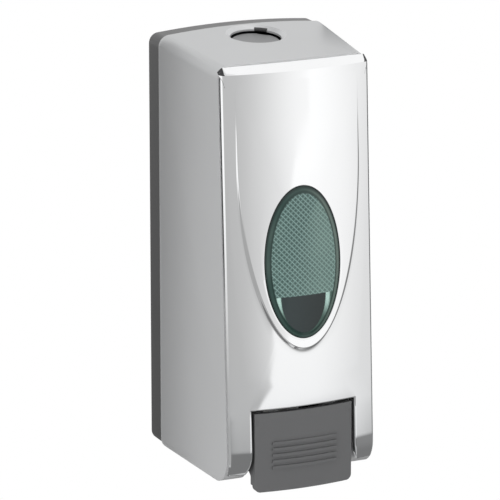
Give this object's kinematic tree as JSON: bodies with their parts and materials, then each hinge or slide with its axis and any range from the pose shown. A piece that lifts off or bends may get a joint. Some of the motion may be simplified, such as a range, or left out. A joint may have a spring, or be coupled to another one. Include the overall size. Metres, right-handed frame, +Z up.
{
  "type": "wall-mounted push soap dispenser",
  "caption": "Tapered wall soap dispenser with a satin cover, bulged chrome front, oval green level window, round release button in the top and a push lever under the front that works a pump",
  "frame": {"origin": "centre of the four wall screw holes, on the wall plane at the back of the plate", "axes": "+X right as seen from the front, +Y into the wall, +Z up; the front faces -Y"},
  "size_m": [0.078, 0.0775, 0.1908],
  "materials": {
    "dark_plastic": "fine-grained dark grey moulding",
    "satin_silver": "satin silver paint on plastic",
    "chrome_front": "polished chrome plating",
    "green_lens": "green tinted clear plastic, diamond pattern inside",
    "clear_tank": "milky translucent plastic",
    "white_plastic": "smooth white moulding",
    "steel": "stainless steel",
    "seal_rubber": "black rubber",
    "soft_valve": "soft translucent silicone"
  },
  "bodies": {
    "base": {"back_plate": "dark_plastic", "latch_bracket": "dark_plastic", "bracket_screws": "steel", "tank": "clear_tank", "tank_seal": "seal_rubber", "union_nut": "white_plastic", "pump_body": "white_plastic", "inlet_valve": "soft_valve", "pump_gland": "white_plastic", "rod_seal": "seal_rubber", "nozzle": "white_plastic", "duckbill": "soft_valve", "pump_spring": "steel", "button_spring": "steel"},
    "cap": {"tank_cap": "dark_plastic", "cap_seal": "seal_rubber"},
    "plunger": {"plunger": "white_plastic", "piston_seal": "seal_rubber"},
    "button": {"release_button": "satin_silver", "button_clip": "steel"},
    "cover": {"cover_shell": "satin_silver", "front_panel": "chrome_front", "window_lens": "green_lens", "lens_retainer": "dark_plastic", "retainer_screws": "steel", "panel_screws": "steel", "lever_pin": "steel", "pin_clips": "steel", "hinge_pins": "steel"},
    "lever": {"push_lever": "dark_plastic"}
  },
  "joints": [
    {"name": "cover_hinge", "type": "hinge", "parent": "base", "child": "cover", "pos_m": [0, -0.028, -0.0893], "axis": [1, 0, 0], "range_deg": [0, 80]},
    {"name": "lever_hinge", "type": "hinge", "parent": "cover", "child": "lever", "pos_m": [0, -0.06193, -0.0525], "axis": [1, 0, 0], "range_deg": [0, 16], "stiffness_Nm_per_rad": 0.5, "springref_deg": -5.73},
    {"name": "plunger_slide", "type": "slide", "parent": "base", "child": "plunger", "axis": [0, 1, 0], "range_m": [0, 0.00651], "deforming": ["pump_spring"]},
    {"name": "button_slide", "type": "slide", "parent": "base", "child": "button", "axis": [0, 0.0915, -0.9958], "range_m": [0, 0.003], "stiffness_N_per_m": 400, "springref_m": -0.002, "deforming": ["button_spring"]},
    {"name": "cap_lift", "type": "slide", "parent": "base", "child": "cap", "axis": [0, 0, 1], "range_m": [0, 0.007]}
  ],
  "couplings": [
    {"joint": "plunger_slide", "follows": "lever_hinge", "m_per_rad": 0.023326}
  ]
}
